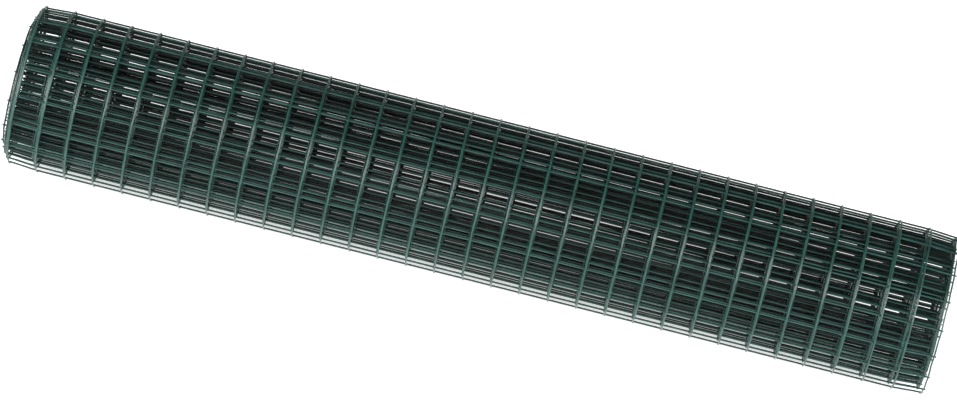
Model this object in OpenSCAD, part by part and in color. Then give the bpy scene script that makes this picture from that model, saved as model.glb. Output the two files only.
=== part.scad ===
// Roll of welded wire fencing: one sheet of square mesh, coated and wound up
// on itself, with an open bore through the middle. It lies on its side with
// its axis along X. The origin is on the floor, below the middle of the roll.
// Lengths are in millimetres.

/* [Mesh] */
// Centre-to-centre spacing of the wires, the same both ways
mesh_pitch = 25; // [12:1:50]
// Cells across the sheet, which lie along the roll
cells_across = 32; // [10:1:48]
// Diameter of a wire with its coating
wire_d = 1.5; // [0.8:0.05:3]
// How far a cross wire runs on past the centre of the edge wire
edge_overhang = 2; // [1:0.5:6]

/* [Roll] */
// Outer diameter of the roll
roll_d = 142; // [100:1:300]
// Diameter of the open bore
bore_d = 50; // [20:1:80]
// Least gap between the edge wires of two turns. Turns settle in between each
// other's cross wires, so it can be less than the thickness of a wire.
turn_gap = 0.6; // [0.4:0.05:4]

/* [Hidden] */
$fn = 96;
coating_green = [0.06, 0.22, 0.18];

roll_r = roll_d / 2;
bore_r = bore_d / 2;
// The edge wires at both ends are a whole number of cells apart, and the
// cross wires' ends stand out past them.
roll_length = cells_across * mesh_pitch + 2 * edge_overhang;
// As many whole turns as fit between the bore and the outside.
wall = roll_r - bore_r;
turns = floor(wall / (wire_d + turn_gap));
turn_pitch = wall / turns;
// Between the edge wires of two turns, an end is open down to their back.
groove_depth = edge_overhang + wire_d / 2;

// One turn's share of an end face, as [radius, height] points from outside in:
// its edge wire stands up, and the gap to the next turn is a groove.
function turn_end(turn, end_z, groove_z) =
    let (outside = roll_r - turn * turn_pitch)
    [
        [outside, end_z],
        [outside - wire_d, end_z],
        [outside - wire_d, groove_z],
        [outside - turn_pitch, groove_z],
    ];

function reversed(list) = [for (i = [len(list) - 1:-1:0]) list[i]];

// The upper end's points from outside in, and the lower end's from inside out.
function section(half_length) =
    let (
        groove_z = half_length - groove_depth,
        upper = [for (turn = [0:turns - 1]) each turn_end(turn, half_length, groove_z)]
    )
    concat(upper, [for (p = reversed(upper)) [p[0], -p[1]]]);

module mesh_roll() {
    color(coating_green)
        translate([0, 0, roll_r])
        rotate([0, 90, 0])
        rotate_extrude()
        polygon(section(roll_length / 2));
}

mesh_roll();
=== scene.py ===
"""Looks of a roll of welded wire fencing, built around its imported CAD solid.

The sheet is one spiral. Line wires run round the roll on the outside of each turn, cross
wires run along it on the inside, and they are welded where they cross. The outer free end
of the sheet is at the front, low down, and springs out a little.

A place along the sheet is counted in cells from the outermost cross wire: whole numbers
are cross wires. Turns are counted from there too, inward. Sizes are in metres.
"""
import math
import random

import bmesh
import bpy
import numpy as np
from mathutils import Matrix, Vector


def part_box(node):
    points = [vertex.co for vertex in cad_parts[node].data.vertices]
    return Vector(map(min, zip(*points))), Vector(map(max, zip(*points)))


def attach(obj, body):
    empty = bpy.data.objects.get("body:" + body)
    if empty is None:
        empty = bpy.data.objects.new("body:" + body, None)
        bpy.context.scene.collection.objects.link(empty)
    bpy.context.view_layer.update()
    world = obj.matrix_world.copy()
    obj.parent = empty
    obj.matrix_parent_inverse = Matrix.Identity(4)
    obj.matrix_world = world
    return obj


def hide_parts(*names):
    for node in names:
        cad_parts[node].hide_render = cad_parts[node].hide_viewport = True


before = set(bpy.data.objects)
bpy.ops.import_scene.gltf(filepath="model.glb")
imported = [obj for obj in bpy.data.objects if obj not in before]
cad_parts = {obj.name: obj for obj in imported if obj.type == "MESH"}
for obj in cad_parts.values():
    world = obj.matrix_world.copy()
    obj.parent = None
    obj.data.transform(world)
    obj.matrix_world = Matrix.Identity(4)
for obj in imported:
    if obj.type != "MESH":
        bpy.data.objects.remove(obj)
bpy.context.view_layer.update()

MM = 0.001
ROLL = "mesh_roll"

# The mesh and the bore, with the same values as in the CAD's source.
CELLS_ACROSS = 32
EDGE_OVERHANG = 2 * MM
WIRE_R = 0.75 * MM
BORE_R = 25 * MM
TURNS = 21

roll_low, roll_high = (Vector(corner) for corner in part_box(ROLL))
roll_length = roll_high.x - roll_low.x
half_length = roll_length / 2
# The box is in single precision, and this rounds off its last digits.
roll_r = round((roll_high.z - roll_low.z) / 2, 4)

# Cells are a little longer round the roll than along it.
LINE_PITCH = (roll_length - 2 * EDGE_OVERHANG) / CELLS_ACROSS
CROSS_PITCH = 25.4 * MM
# A cross wire is sunk into the line wires that lie on it, so its middle is one step nearer
# the axis than theirs.
WELD_SINK = 0.35 * MM
LAYER_STEP = 2 * WIRE_R - WELD_SINK
# Between two welds a line wire is a little flatter than the arc.
FLATNESS = 0.7 * MM

# The outer turns lie looser than the others. That takes this much of the radius in all, most
# of it within this many turns.
OUTER_EASE = 1.0 * MM
EASE_TURNS = 2.5
TURN_PITCH = (roll_r - BORE_R - OUTER_EASE) / TURNS

# The last cross wire at the free end. Angles round the roll run from the front (-Y) up over
# the top, and the radius is to the outside of the line wires, before it springs out.
FREE_END_ANGLE = math.radians(-60)
FREE_END_R = roll_r + 0.5 * MM
# How far it springs out, and over how many cells.
FREE_END_SPRING = 1.0 * MM
SPRING_CELLS = 1.3
# How far it leans towards +X, and over how many cells.
FREE_END_LEAN = 1.2 * MM
LEAN_CELLS = 3.2
# Line wires run on this far past the last cross wire, at both ends of the sheet.
STUB_CELLS = 0.25

# The outer turn has slid a little towards +X, and its edge there is pulled out. Both hold
# for so many turns, and then fade over so many more.
TELESCOPE = 0.1 * MM
FLARE = 2.9 * MM
OUTER_KEEP_TURNS = 0.6
OUTER_FADE_TURNS = 0.5
# The inner turns' edges stand out at -X, by all of this from so many turns in.
INNER_FLARE = 4.5 * MM
INNER_FADE_TURNS = 5
# How far in from the end of the roll both reach.
FLARE_LENGTH = 100 * MM
# The inner turns have also drifted along the roll. It sets in at this turn, and is whole
# after so many more.
DRIFT_FROM_TURN = 1.5
DRIFT_FADE_TURNS = 3
# The outer turn is pulled in towards the axis at the ends of the roll, by this much and over
# this length. Turns further in are pulled in less.
TUCK = 1.6 * MM
TUCK_LENGTH = 30 * MM

# How much of the cross wires' skew and bow the outer turn has, and from how many turns in
# they have all of it, and all of their slack.
OUTER_STRAY = 0.5
STRAY_FADE_TURNS = 2
# A bowed wire's ends go one way and its middle the other way, by this share of the bow.
BOW_MIDDLE = 0.4

# The outer turns' wires are modelled finer. Each pair is samples in a cell, then sides.
OUTER_TURNS = 2.3
OUTER_LINE = (4, 8)
CORE_LINE = (3, 5)
EDGE_LINE = (5, 8)
OUTER_CROSS = (4, 8)
CORE_CROSS = (2, 5)
# A wire's last half radius narrows to this share of its width.
TIP_LENGTH = 0.5 * WIRE_R
TIP_WIDTH = 0.55
# The bead of coating on a weld is a ball a little thicker than the wires, and this share of
# its height is left.
BEAD_R = WIRE_R * 1.1
BEAD_HEIGHT = 0.8

# Painted shade and light: the coating's colour is scaled from this radius to the outside, between
# these two factors, darker towards the axis and lighter on the outer turns.
PAINTED_SHADE_FROM = 52 * MM
INNER_PAINTED_SHADE = 0.55
OUTER_PAINTED_LIGHT = 1.75

# For all that is uneven in the winding.
SEED = 1210


def smoothstep(x):
    x = np.clip(x, 0, 1)
    return x * x * (3 - 2 * x)


class Waves:
    """A smooth random curve made of a few sines."""

    def __init__(self, rng, height, lengths):
        self.parts = [
            (height * rng.uniform(0.5, 1.0), math.tau / length, rng.uniform(0, math.tau))
            for length in lengths
        ]

    def __call__(self, x):
        return sum(height * np.sin(rate * x + phase) for height, rate, phase in self.parts)


rng = random.Random(SEED)
# These run over turns: how loosely the sheet lies, then how cross wires stray from a line
# along the roll, as a skew, a bow and a slack of the whole wire, then how turns drift.
looseness = Waves(rng, height=0.22 * MM, lengths=(5.3, 8.9, 15.0))
skew = Waves(rng, height=1.0 * MM, lengths=(0.9, 1.3, 2.3, 4.1))
bow = Waves(rng, height=0.7 * MM, lengths=(0.8, 1.7, 3.1))
slack = Waves(rng, height=0.9 * MM, lengths=(1.9, 2.7, 5.3))
drift = Waves(rng, height=1.1 * MM, lengths=(1.7, 2.9, 4.7))
# And these over cells: how each line wire wanders along the roll.
wanders = [
    Waves(rng, height=0.14 * MM, lengths=(0.9, 1.9, 3.3, 7.1))
    for _ in range(CELLS_ACROSS + 1)
]


# ---------------------------------------------------------------- winding

class Winding:
    """Where the sheet is: how far round and how far from the axis, at each place along it."""

    STEPS_PER_CELL = 6
    REACH_SAMPLES = 4000

    def __init__(self):
        """Winds the sheet on in small steps, from the free end to the bore."""
        step = 1 / self.STEPS_PER_CELL
        inner_r = BORE_R + LAYER_STEP + WIRE_R
        places, turned = [-STUB_CELLS], [0.0]
        while self.line_r_at(turned[-1]) > inner_r:
            cross_r = self.line_r_at(turned[-1]) - LAYER_STEP
            turned.append(turned[-1] + step * CROSS_PITCH / cross_r)
            places.append(places[-1] + step)
        self.places = np.array(places)
        turned = np.array(turned)
        self.turned = turned - np.interp(0, self.places, turned)
        self.cross_wires = int(self.places[-1] - STUB_CELLS) + 1
        self.end = self.cross_wires - 1 + STUB_CELLS

    @staticmethod
    def line_r_at(turned):
        turns = turned / math.tau
        loose = looseness(turns) - looseness(0.0)
        ease = OUTER_EASE * (1 - np.exp(-turns / EASE_TURNS))
        return FREE_END_R - WIRE_R - TURN_PITCH * turns - ease + loose

    def turns(self, place):
        return np.interp(place, self.places, self.turned) / math.tau

    def angle(self, place):
        return FREE_END_ANGLE + self.turns(place) * math.tau

    def line_r(self, place):
        spring = FREE_END_SPRING * np.clip(1 - place / SPRING_CELLS, 0, None) ** 2
        return self.line_r_at(self.turns(place) * math.tau) + spring

    def tuck(self, place, x):
        """How much closer to the axis the sheet is here than in the middle of the roll."""
        end = smoothstep((np.abs(x) - half_length + TUCK_LENGTH) / TUCK_LENGTH)
        return TUCK * end * (1 - self.turns(place) / self.turns(self.end))

    def slide(self, place, x):
        """How far along the roll the sheet has slid here."""
        turns = self.turns(place)
        outer = 1 - smoothstep((turns - OUTER_KEEP_TURNS) / OUTER_FADE_TURNS)
        inner = smoothstep(turns / INNER_FADE_TURNS)
        right_end = smoothstep((x - half_length + FLARE_LENGTH) / FLARE_LENGTH)
        left_end = smoothstep((-x - half_length + FLARE_LENGTH) / FLARE_LENGTH)
        edges = outer * (TELESCOPE + FLARE * right_end) - inner * INNER_FLARE * left_end
        lean = FREE_END_LEAN * np.clip(1 - place / LEAN_CELLS, 0, 1)
        drifting = smoothstep((turns - DRIFT_FROM_TURN) / DRIFT_FADE_TURNS)
        return edges + lean + drift(turns) * drifting

    def lowest_reach(self):
        """How far below the axis the sheet reaches, to the outside of the line wires."""
        place = np.linspace(self.places[0], self.end, self.REACH_SAMPLES)
        return (-(self.line_r(place) + WIRE_R) * np.sin(self.angle(place))).max()


winding = Winding()
resting_height = winding.lowest_reach()
# The last cross wire that counts as an outer one.
outer_last = round(float(np.interp(OUTER_TURNS * math.tau, winding.turned, winding.places)))


def axis_height(turns):
    """The outer turns sag onto the floor, and the bore stays where the CAD has it."""
    inner = roll_low.z + roll_r
    return resting_height + (inner - resting_height) * turns / winding.turns(winding.end)


def around(angle, radius, turns):
    """Y and Z of points round the roll."""
    return -radius * np.cos(angle), axis_height(turns) + radius * np.sin(angle)


def out_of_roll(angle):
    return np.stack([np.zeros_like(angle), -np.cos(angle), np.sin(angle)], axis=-1)


def round_roll(angle):
    """The direction in which angles get smaller."""
    return np.stack([np.zeros_like(angle), -np.sin(angle), -np.cos(angle)], axis=-1)


def shift_round(x, turns):
    """How far cross wires are moved round the roll at x, as a length."""
    along = x / half_length
    inside = smoothstep(turns / STRAY_FADE_TURNS)
    strays = skew(turns) * along + bow(turns) * (along ** 2 - BOW_MIDDLE)
    return strays * (OUTER_STRAY + (1 - OUTER_STRAY) * inside) + slack(turns) * inside


# ---------------------------------------------------------------- meshes

class Builder:
    """Collects swept wires and beads into one mesh."""

    def __init__(self):
        self.points = []
        self.quads = []
        self.triangles = []
        self.count = 0

    def wire(self, path, side_a, side_b, sides):
        """A round wire along path. side_a and side_b span its section at each point."""
        turn = np.arange(sides) * math.tau / sides
        widths = np.full(len(path), 1.0)
        widths[0] = widths[-1] = TIP_WIDTH
        reach = (WIRE_R * widths)[:, None, None]
        part_a = np.cos(turn)[None, :, None] * side_a[:, None, :]
        part_b = np.sin(turn)[None, :, None] * side_b[:, None, :]
        self.points.append((path[:, None, :] + reach * (part_a + part_b)).reshape(-1, 3))
        self.add_walls(len(path), sides)
        self.add_caps(len(path), sides)
        self.count += len(path) * sides

    def add_walls(self, rings, sides):
        row = np.arange(rings - 1)[:, None] * sides
        col = np.arange(sides)[None, :]
        after = (col + 1) % sides
        corners = [row + col, row + after, row + sides + after, row + sides + col]
        self.quads.append(np.stack(corners, axis=-1).reshape(-1, 4) + self.count)

    def add_caps(self, rings, sides):
        fan = np.arange(1, sides - 1)
        hub = np.zeros_like(fan)
        start = np.stack([hub, fan + 1, fan], axis=-1)
        end = np.stack([hub, fan, fan + 1], axis=-1) + (rings - 1) * sides
        self.triangles.append(np.vstack([start, end]) + self.count)

    def bead(self, centre, out, ball):
        """A copy of a ball, flattened along out."""
        points, faces = ball
        squashed = points - np.outer((points @ out) * (1 - BEAD_HEIGHT), out)
        self.points.append(centre + squashed)
        self.triangles.append(faces + self.count)
        self.count += len(points)

    def mesh(self, name):
        points = np.vstack(self.points)
        quads = np.vstack(self.quads) if self.quads else np.empty((0, 4), int)
        triangles = np.vstack(self.triangles)
        corners = np.concatenate([quads.ravel(), triangles.ravel()])
        sizes = np.concatenate([np.full(len(quads), 4), np.full(len(triangles), 3)])
        starts = np.concatenate([[0], np.cumsum(sizes)[:-1]])
        mesh = bpy.data.meshes.new(name)
        mesh.vertices.add(len(points))
        mesh.vertices.foreach_set("co", points.astype(np.float32).ravel())
        mesh.loops.add(len(corners))
        mesh.loops.foreach_set("vertex_index", corners.astype(np.int32))
        mesh.polygons.add(len(sizes))
        mesh.polygons.foreach_set("loop_start", starts.astype(np.int32))
        mesh.polygons.foreach_set("use_smooth", np.ones(len(sizes), bool))
        mesh.update(calc_edges=True)
        mesh.validate()
        return mesh

    def piece(self, name, material):
        mesh = self.mesh(name)
        mesh.materials.append(material)
        piece = bpy.data.objects.new(name, mesh)
        bpy.context.collection.objects.link(piece)
        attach(piece, "root")
        return piece


def ball(radius):
    """A small icosphere as points and triangles."""
    bm = bmesh.new()
    bmesh.ops.create_icosphere(bm, subdivisions=1, radius=radius)
    points = np.array([v.co[:] for v in bm.verts])
    faces = np.array([[v.index for v in f.verts] for f in bm.faces])
    bm.free()
    return points, faces


# ---------------------------------------------------------------- wires

def line_wire_x(index):
    return (index - CELLS_ACROSS / 2) * LINE_PITCH


def sample_places(first, last, per_cell):
    """Places from first to last, with one at every cross wire and one close to each end."""
    # This keeps first and last themselves out of the places between.
    hair = 1e-6
    lowest = math.ceil(first * per_cell + hair)
    highest = math.floor(last * per_cell - hair)
    between = np.arange(lowest, highest + 1) / per_cell
    tip = TIP_LENGTH / CROSS_PITCH
    return np.unique(np.concatenate([[first], [first + tip], between, [last - tip], [last]]))


def line_wire_path(index, places):
    """Points of one line wire, with the directions out of the roll and along it."""
    turns = winding.turns(places)
    angle = winding.angle(places)
    flat = FLATNESS * np.abs(np.sin(math.pi * places))
    tuck = winding.tuck(places, line_wire_x(index))
    y, z = around(angle, winding.line_r(places) - flat - tuck, turns)
    slide = winding.slide(places, line_wire_x(index))
    x = line_wire_x(index) + slide + wanders[index](places)
    path = np.stack([x, y, z], axis=-1)
    along = np.tile([1.0, 0.0, 0.0], (len(places), 1))
    return path, out_of_roll(angle), along


def add_line_wire(builder, index, first, last, detail):
    per_cell, sides = detail
    places = sample_places(first, last, per_cell)
    builder.wire(*line_wire_path(index, places), sides)


def cross_wire_path(place, per_cell):
    """Points of one cross wire, with the directions out of the roll and round it."""
    tips = [-half_length, -half_length + TIP_LENGTH, half_length - TIP_LENGTH, half_length]
    between = np.arange(-half_length + EDGE_OVERHANG, half_length, LINE_PITCH / per_cell)
    # Rounded, so that samples that coincide become one.
    x = np.unique(np.concatenate([tips, between]).round(7))
    turns = float(winding.turns(place))
    line_r = float(winding.line_r(np.array(place, float)))
    wander = Waves(rng, height=0.06 * MM, lengths=(0.05, 0.083, 0.19))
    angle = float(winding.angle(place)) + (shift_round(x, turns) + wander(x)) / line_r
    y, z = around(angle, line_r - LAYER_STEP - winding.tuck(place, x), turns)
    path = np.stack([x + winding.slide(place, x), y, z], axis=-1)
    return path, out_of_roll(angle), round_roll(angle)


def add_weld(builder, place, index, path, out, bead):
    """A bead where a line wire lies on the cross wire that has this path."""
    x = line_wire_x(index)
    x += float(winding.slide(place, x)) + float(wanders[index](float(place)))
    y = np.interp(x, path[:, 0], path[:, 1])
    z = np.interp(x, path[:, 0], path[:, 2])
    outward = np.array([np.interp(x, path[:, 0], out[:, k]) for k in range(3)])
    builder.bead(np.array([x, y, z]) + outward * LAYER_STEP / 2, outward, bead)


def build_line_wires(coat):
    outer, core, edges = Builder(), Builder(), Builder()
    for index in range(1, CELLS_ACROSS):
        add_line_wire(outer, index, -STUB_CELLS, outer_last, OUTER_LINE)
        add_line_wire(core, index, outer_last, winding.end, CORE_LINE)
    for index in (0, CELLS_ACROSS):
        add_line_wire(edges, index, -STUB_CELLS, winding.end, EDGE_LINE)
    return [
        outer.piece("line_wires_outer", coat),
        core.piece("line_wires_core", coat),
        edges.piece("edge_line_wires", coat),
    ]


def build_cross_wires(coat):
    """Cross wires, with beads on all welds of the outer ones and on the others' edge welds."""
    outer, core, beads = Builder(), Builder(), Builder()
    bead = ball(BEAD_R)
    for place in range(winding.cross_wires):
        is_outer = place <= outer_last
        per_cell, sides = OUTER_CROSS if is_outer else CORE_CROSS
        path, out, down = cross_wire_path(place, per_cell)
        (outer if is_outer else core).wire(path, out, down, sides)
        for index in range(CELLS_ACROSS + 1) if is_outer else (0, CELLS_ACROSS):
            add_weld(beads, place, index, path, out, bead)
    return [
        outer.piece("cross_wires_outer", coat),
        core.piece("cross_wires_core", coat),
        beads.piece("weld_beads", coat),
    ]


# ---------------------------------------------------------------- coating

def painted_shade_by_radius(nodes, links, where):
    """A factor on the coating's colour, by the distance from the axis: painted shade on the inner
    turns and painted light on the outer ones.
    """
    from_axis = nodes.new("ShaderNodeVectorMath")
    from_axis.operation = "MULTIPLY_ADD"
    from_axis.inputs[1].default_value = (0, 1, 1)
    from_axis.inputs[2].default_value = (0, 0, -roll_r)
    radius = nodes.new("ShaderNodeVectorMath")
    radius.operation = "LENGTH"
    # Painted shade towards the axis, painted light on the outer turns.
    shade = nodes.new("ShaderNodeMapRange")
    shade.inputs["From Min"].default_value = PAINTED_SHADE_FROM
    shade.inputs["From Max"].default_value = roll_r
    shade.inputs["To Min"].default_value = INNER_PAINTED_SHADE
    shade.inputs["To Max"].default_value = OUTER_PAINTED_LIGHT
    links.new(where.outputs["Object"], from_axis.inputs[0])
    links.new(from_axis.outputs["Vector"], radius.inputs[0])
    links.new(radius.outputs["Value"], shade.inputs["Value"])
    return shade.outputs["Result"]


def noise(nodes, links, where, scale, detail):
    texture = nodes.new("ShaderNodeTexNoise")
    texture.inputs["Scale"].default_value = scale
    texture.inputs["Detail"].default_value = detail
    links.new(where.outputs["Object"], texture.inputs["Vector"])
    return texture.outputs["Fac"]


def coated_wire_material():
    """Dark green plastic with blotches of tone and gloss, and a finely uneven skin, with painted
    shade on the inner turns and painted light on the outer ones.
    """
    material = bpy.data.materials.new("coated_wire")
    material.use_nodes = True
    nodes, links = material.node_tree.nodes, material.node_tree.links
    shader = nodes["Principled BSDF"]
    shader.inputs["IOR"].default_value = 1.5
    shader.inputs["Specular IOR Level"].default_value = 0.36
    where = nodes.new("ShaderNodeTexCoord")
    blotches = noise(nodes, links, where, scale=60, detail=4)

    tint = nodes.new("ShaderNodeValToRGB")
    tint.color_ramp.elements[0].position = 0.3
    tint.color_ramp.elements[0].color = (0.003, 0.017, 0.0135, 1)
    tint.color_ramp.elements[1].position = 0.72
    tint.color_ramp.elements[1].color = (0.0076, 0.0325, 0.0262, 1)
    shaded = nodes.new("ShaderNodeVectorMath")
    shaded.operation = "SCALE"
    links.new(blotches, tint.inputs["Fac"])
    links.new(tint.outputs["Color"], shaded.inputs["Vector"])
    # Painted shade and light: the colour is darkened towards the axis and lightened on the outer
    # turns.
    links.new(painted_shade_by_radius(nodes, links, where), shaded.inputs["Scale"])
    links.new(shaded.outputs["Vector"], shader.inputs["Base Color"])

    gloss = nodes.new("ShaderNodeMapRange")
    gloss.inputs["To Min"].default_value = 0.28
    gloss.inputs["To Max"].default_value = 0.5
    links.new(blotches, gloss.inputs["Value"])
    links.new(gloss.outputs["Result"], shader.inputs["Roughness"])

    skin = noise(nodes, links, where, scale=1400, detail=2)
    bump = nodes.new("ShaderNodeBump")
    bump.inputs["Strength"].default_value = 0.25
    bump.inputs["Distance"].default_value = 0.08 * MM
    links.new(skin, bump.inputs["Height"])
    links.new(bump.outputs["Normal"], shader.inputs["Normal"])
    return material


# ---------------------------------------------------------------- stage

CAMERA_DISTANCE = 4.9
CAMERA_ELEVATION = math.radians(35)
CAMERA_ROLL = math.radians(14.2)
# How far the camera stands to the right of the point it is aimed at.
CAMERA_X = 0.04
LENS = 215.9
SENSOR_WIDTH = 36
# The camera is aimed a little to the left of the roll's middle and a little below its axis.
AIM_X = -2.1 * MM
AIM_DROP = 2.7 * MM
FLOOR_REACH = 30
LIGHT_AIM = Vector((0, 0, 0.05))


def build_camera():
    """Looks down at the roll from the front, tilted so that the roll slopes down to the right."""
    data = bpy.data.cameras.new("camera")
    data.lens = LENS
    data.sensor_width = SENSOR_WIDTH
    camera = bpy.data.objects.new("camera", data)
    bpy.context.collection.objects.link(camera)
    aim = Vector((AIM_X, 0, resting_height - AIM_DROP))
    back = Vector((0, -math.cos(CAMERA_ELEVATION), math.sin(CAMERA_ELEVATION)))
    place = aim + CAMERA_DISTANCE * back + Vector((CAMERA_X, 0, 0))
    toward = (aim - place).normalized()
    level = Vector((1, 0, 0))
    level = (level - toward * level.dot(toward)).normalized()
    upright = level.cross(toward)
    right = math.cos(CAMERA_ROLL) * level + math.sin(CAMERA_ROLL) * upright
    up = right.cross(toward)
    turn = Matrix((right, up, -toward)).transposed()
    camera.matrix_world = Matrix.Translation(place) @ turn.to_4x4()
    bpy.context.scene.camera = camera


def pale_floor_material():
    material = bpy.data.materials.new("pale_floor")
    material.use_nodes = True
    shader = material.node_tree.nodes["Principled BSDF"]
    shader.inputs["Base Color"].default_value = (0.85, 0.85, 0.85, 1)
    shader.inputs["Roughness"].default_value = 0.7
    shader.inputs["Emission Color"].default_value = (1, 1, 1, 1)
    shader.inputs["Emission Strength"].default_value = 0.5
    return material


def build_floor():
    mesh = bpy.data.meshes.new("floor")
    signs = [(-1, -1), (1, -1), (1, 1), (-1, 1)]
    corners = [(FLOOR_REACH * x, FLOOR_REACH * y, 0) for x, y in signs]
    mesh.from_pydata(corners, [], [(0, 1, 2, 3)])
    floor = bpy.data.objects.new("floor", mesh)
    bpy.context.collection.objects.link(floor)
    mesh.materials.append(pale_floor_material())


def build_light(name, place, size, power):
    """A round, soft light that is aimed at the roll."""
    data = bpy.data.lights.new(name, "AREA")
    data.shape = "DISK"
    data.size = size
    data.energy = power
    light = bpy.data.objects.new(name, data)
    light.location = place
    light.rotation_euler = (LIGHT_AIM - Vector(place)).to_track_quat("-Z", "Y").to_euler()
    bpy.context.collection.objects.link(light)


def build_lights():
    """One in front, and a strong one at each side."""
    build_light("key", (-0.2, -2.3, 1.1), size=0.9, power=26)
    build_light("left", (-2.2, -1.0, 0.7), size=1.2, power=125)
    build_light("right", (2.2, -1.0, 0.7), size=1.2, power=125)


def build_world():
    world = bpy.data.worlds.new("studio")
    world.use_nodes = True
    background = world.node_tree.nodes["Background"]
    background.inputs["Color"].default_value = (1, 1, 1, 1)
    background.inputs["Strength"].default_value = 0.2
    bpy.context.scene.world = world


bpy.context.scene.view_settings.view_transform = "Standard"
build_camera()
build_floor()
build_world()
build_lights()
coat = coated_wire_material()
pieces = build_line_wires(coat) + build_cross_wires(coat)
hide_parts(ROLL)
